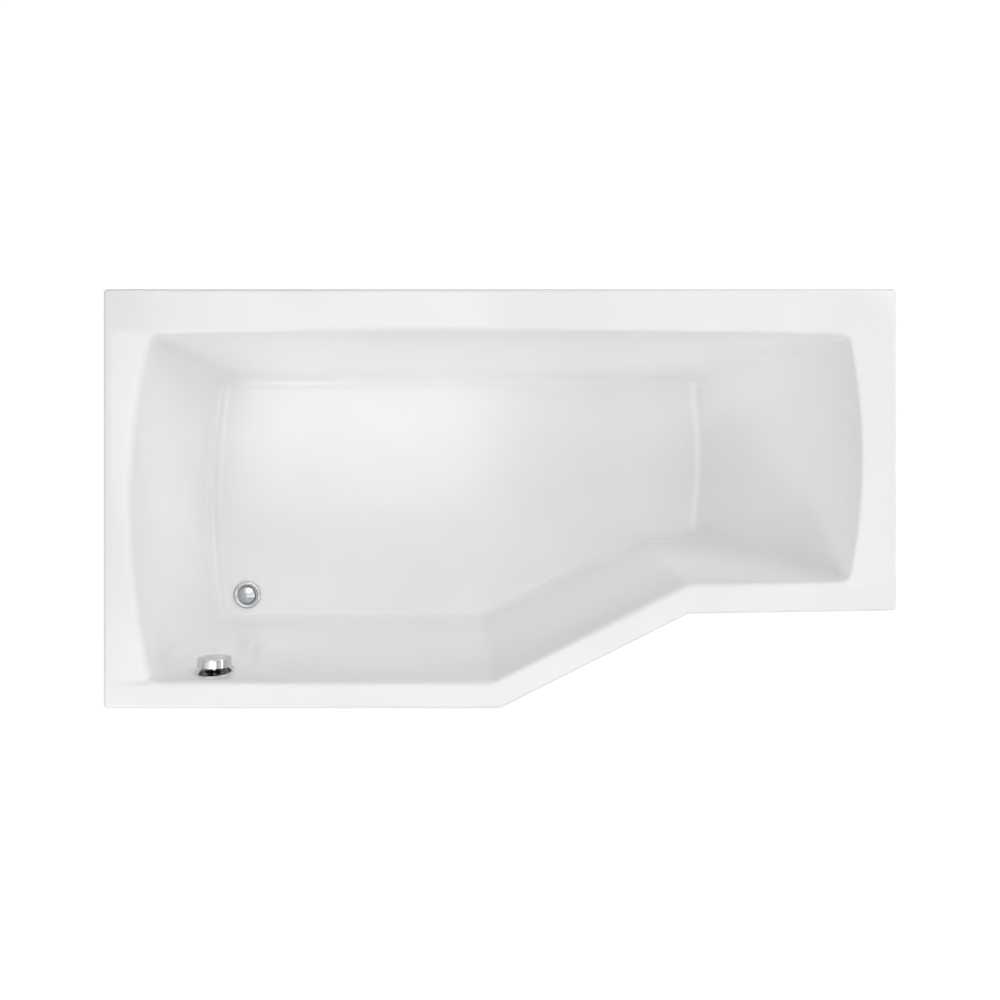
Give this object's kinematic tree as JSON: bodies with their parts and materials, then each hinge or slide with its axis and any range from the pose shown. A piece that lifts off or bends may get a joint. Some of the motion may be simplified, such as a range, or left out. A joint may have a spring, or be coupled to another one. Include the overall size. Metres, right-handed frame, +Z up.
{
  "type": "asymmetric bathtub",
  "caption": "Asymmetric acrylic bathtub that narrows along a slanted front edge, with sloping backrest, lift-up waste worked by a turning overflow knob, trap and screw feet.",
  "frame": {"origin": "on the floor under the middle of the tub's bounding box, with the feet screwed in", "axes": "+X along the tub from the foot end to the backrest end, +Y to the straight wall side, +Z up"},
  "size_m": [1.7, 0.9, 0.58],
  "materials": {
    "sanitary_acrylic": "high gloss white",
    "glass_fibre": "sprayed chopped strand, satin",
    "chipboard": "raw sanded",
    "batten_wood": "planed softwood",
    "galvanised_steel": "zinc spangle",
    "zinc_plated_steel": "bright zinc",
    "chrome_plate": "mirror",
    "white_polypropylene": "moulded satin",
    "grey_polypropylene": "moulded satin",
    "foot_plastic": "moulded satin",
    "seal_rubber": "matte",
    "stem_brass": "turned"
  },
  "bodies": {
    "tub": {"tub_shell": "sanitary_acrylic", "glass_fibre_backing": "glass_fibre", "base_board": "chipboard", "rim_batten_back": "batten_wood", "rim_batten_front": "batten_wood", "rim_batten_foot_end": "batten_wood", "rim_batten_backrest_end": "batten_wood", "leg_bar_foot_end": "galvanised_steel", "leg_bar_backrest_end": "galvanised_steel", "leg_bar_screws": "zinc_plated_steel", "foot_nuts": "zinc_plated_steel", "drain_flange": "chrome_plate", "drain_flange_gasket": "seal_rubber", "drain_body_gasket": "seal_rubber", "drain_body": "white_polypropylene", "lift_lever_pin": "zinc_plated_steel", "overflow_backplate": "chrome_plate", "overflow_screws": "zinc_plated_steel", "overflow_gasket": "seal_rubber", "overflow_body": "white_polypropylene", "overflow_pipe": "white_polypropylene", "overflow_pipe_nuts": "grey_polypropylene", "trap_nuts": "grey_polypropylene", "trap_bend": "white_polypropylene", "outlet_elbow": "white_polypropylene"},
    "overflow_knob": {"overflow_knob": "chrome_plate", "overflow_shaft": "stem_brass", "cable_drum": "white_polypropylene"},
    "plug": {"drain_plug": "chrome_plate", "plug_seal": "seal_rubber", "plug_stem": "stem_brass"},
    "lever": {"lift_lever": "stem_brass"},
    "foot_pad_1": {"foot_pad_1": "foot_plastic"},
    "foot_spindle_1": {"foot_spindle_1": "zinc_plated_steel"},
    "foot_pad_2": {"foot_pad_2": "foot_plastic"},
    "foot_spindle_2": {"foot_spindle_2": "zinc_plated_steel"},
    "foot_pad_3": {"foot_pad_3": "foot_plastic"},
    "foot_spindle_3": {"foot_spindle_3": "zinc_plated_steel"},
    "foot_pad_4": {"foot_pad_4": "foot_plastic"},
    "foot_spindle_4": {"foot_spindle_4": "zinc_plated_steel"}
  },
  "joints": [
    {"name": "knob_turn", "type": "hinge", "parent": "tub", "child": "overflow_knob", "pos_m": [-0.629, -0.37971, 0.52], "axis": [0, 1, 0], "range_deg": [0, 90]},
    {"name": "plug_lift", "type": "slide", "parent": "tub", "child": "plug", "axis": [0, 0, 1], "range_m": [0, 0.009]},
    {"name": "lever_lift", "type": "hinge", "parent": "tub", "child": "lever", "pos_m": [-0.676, -0.248, 0.12], "axis": [0, -1, 0], "range_deg": [0, 24.15]},
    {"name": "foot_1_extend", "type": "slide", "parent": "tub", "child": "foot_pad_1", "axis": [0, 0, -1], "range_m": [0, 0.05]},
    {"name": "foot_1_screw", "type": "hinge", "parent": "foot_pad_1", "child": "foot_spindle_1", "pos_m": [-0.4, -0.362, 0], "axis": [0, 0, -1], "range_deg": [-10, 12010]},
    {"name": "foot_2_extend", "type": "slide", "parent": "tub", "child": "foot_pad_2", "axis": [0, 0, -1], "range_m": [0, 0.05]},
    {"name": "foot_2_screw", "type": "hinge", "parent": "foot_pad_2", "child": "foot_spindle_2", "pos_m": [-0.4, 0.355, 0], "axis": [0, 0, -1], "range_deg": [-10, 12010]},
    {"name": "foot_3_extend", "type": "slide", "parent": "tub", "child": "foot_pad_3", "axis": [0, 0, -1], "range_m": [0, 0.05]},
    {"name": "foot_3_screw", "type": "hinge", "parent": "foot_pad_3", "child": "foot_spindle_3", "pos_m": [0.29, -0.212, 0], "axis": [0, 0, -1], "range_deg": [-10, 12010]},
    {"name": "foot_4_extend", "type": "slide", "parent": "tub", "child": "foot_pad_4", "axis": [0, 0, -1], "range_m": [0, 0.05]},
    {"name": "foot_4_screw", "type": "hinge", "parent": "foot_pad_4", "child": "foot_spindle_4", "pos_m": [0.29, 0.355, 0], "axis": [0, 0, -1], "range_deg": [-10, 12010]}
  ],
  "couplings": [
    {"joint": "plug_lift", "follows": "knob_turn", "m_per_rad": 0.0057295},
    {"joint": "lever_lift", "follows": "knob_turn", "ratio": 0.26831},
    {"joint": "foot_1_screw", "follows": "foot_1_extend", "rad_per_m": 4188.8},
    {"joint": "foot_2_screw", "follows": "foot_2_extend", "rad_per_m": 4188.8},
    {"joint": "foot_3_screw", "follows": "foot_3_extend", "rad_per_m": 4188.8},
    {"joint": "foot_4_screw", "follows": "foot_4_extend", "rad_per_m": 4188.8}
  ]
}
